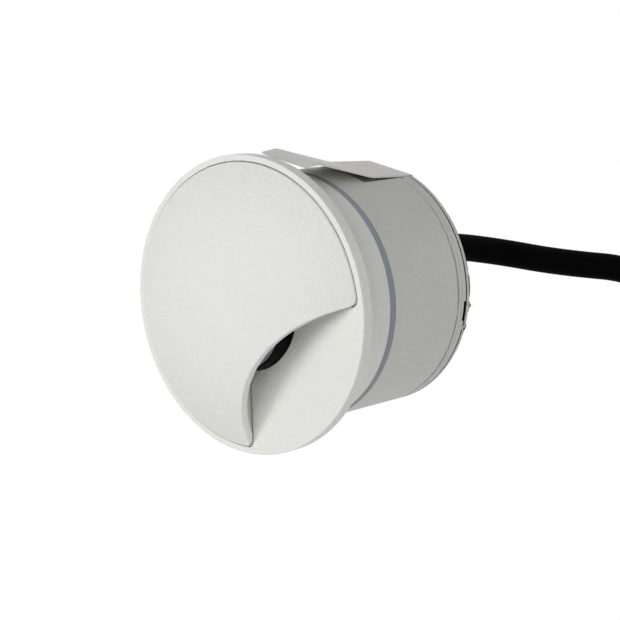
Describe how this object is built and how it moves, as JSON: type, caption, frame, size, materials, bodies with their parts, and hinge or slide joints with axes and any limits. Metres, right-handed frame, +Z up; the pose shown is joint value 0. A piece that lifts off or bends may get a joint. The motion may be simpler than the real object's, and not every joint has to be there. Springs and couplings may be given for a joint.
{
  "type": "step light",
  "caption": "Round recessed step light: a bulging eyelid cover shades a lens above a down-facing mouth, on a cylindrical body held by leaf-spring clips, with a short power cable.",
  "frame": {"origin": "centre of the front plate's rear face, which lies on the wall", "axes": "+X right seen from the front, +Y into the wall along the body, +Z up with the mouth facing down"},
  "size_m": [0.08, 0.1788, 0.2806],
  "materials": {
    "white_paint": "fine textured powder coat",
    "body_paint": "fine textured powder coat, warm grey in the shade",
    "zinc_steel": "zinc plated",
    "spring_steel": "rolled strip",
    "black_plastic": "matte",
    "white_plastic": "satin",
    "clouded_glass": "clouded",
    "blue_grey_rubber": "silicone",
    "black_rubber": "matte",
    "white_board": "solder mask",
    "green_board": "solder mask",
    "phosphor": "LED phosphor",
    "grey_pad": "thermal pad",
    "bare_aluminium": "as cast",
    "brass": "plain",
    "ferrite": "ferrite and tape",
    "red_wire": "silicone wire",
    "brown_wire": "PVC wire"
  },
  "bodies": {
    "light": {"front_bezel": "white_paint", "eyelid_cover": "white_paint", "lid_screws": "zinc_steel", "baffle_ring": "black_plastic", "lens": "clouded_glass", "lens_gasket": "blue_grey_rubber", "reflector": "white_plastic", "led_board": "white_board", "led_chips": "phosphor", "led_board_screws": "zinc_steel", "thermal_pad": "grey_pad", "heat_sink": "bare_aluminium", "heat_sink_screws": "zinc_steel", "body_gasket": "blue_grey_rubber", "housing": "body_paint", "body_screws": "zinc_steel", "driver_standoffs": "brass", "driver_board": "green_board", "driver_screws": "zinc_steel", "driver_transformer": "ferrite", "driver_capacitors": "black_plastic", "driver_choke": "ferrite", "driver_fuse": "white_plastic", "led_leads": "red_wire", "rear_gasket": "black_rubber", "rear_cover": "body_paint", "rear_cover_screws": "zinc_steel", "clip_screws": "zinc_steel", "upper_clip_foot": "spring_steel", "lower_clip_foot": "spring_steel", "cable_gland": "black_plastic", "gland_seal": "black_rubber", "gland_locknut": "black_plastic", "gland_nut": "black_plastic", "strain_relief": "black_rubber", "cable_inner": "black_rubber", "lead_wires": "brown_wire", "power_cable": "black_rubber", "cable_cores": "brown_wire", "core_ferrules": "zinc_steel"},
    "upper_clip": {"upper_clip_arm": "spring_steel"},
    "lower_clip": {"lower_clip_arm": "spring_steel"}
  },
  "joints": [
    {"name": "upper_clip_flex", "type": "hinge", "parent": "light", "child": "upper_clip", "pos_m": [0.02939, 0.03171, 0.0167], "axis": [0.4939, 0, -0.8695], "range_deg": [0, 8.5], "stiffness_Nm_per_rad": 1.3},
    {"name": "lower_clip_flex", "type": "hinge", "parent": "light", "child": "lower_clip", "pos_m": [-0.02939, 0.03171, -0.0167], "axis": [-0.4939, 0, 0.8695], "range_deg": [0, 8.5], "stiffness_Nm_per_rad": 1.3}
  ]
}
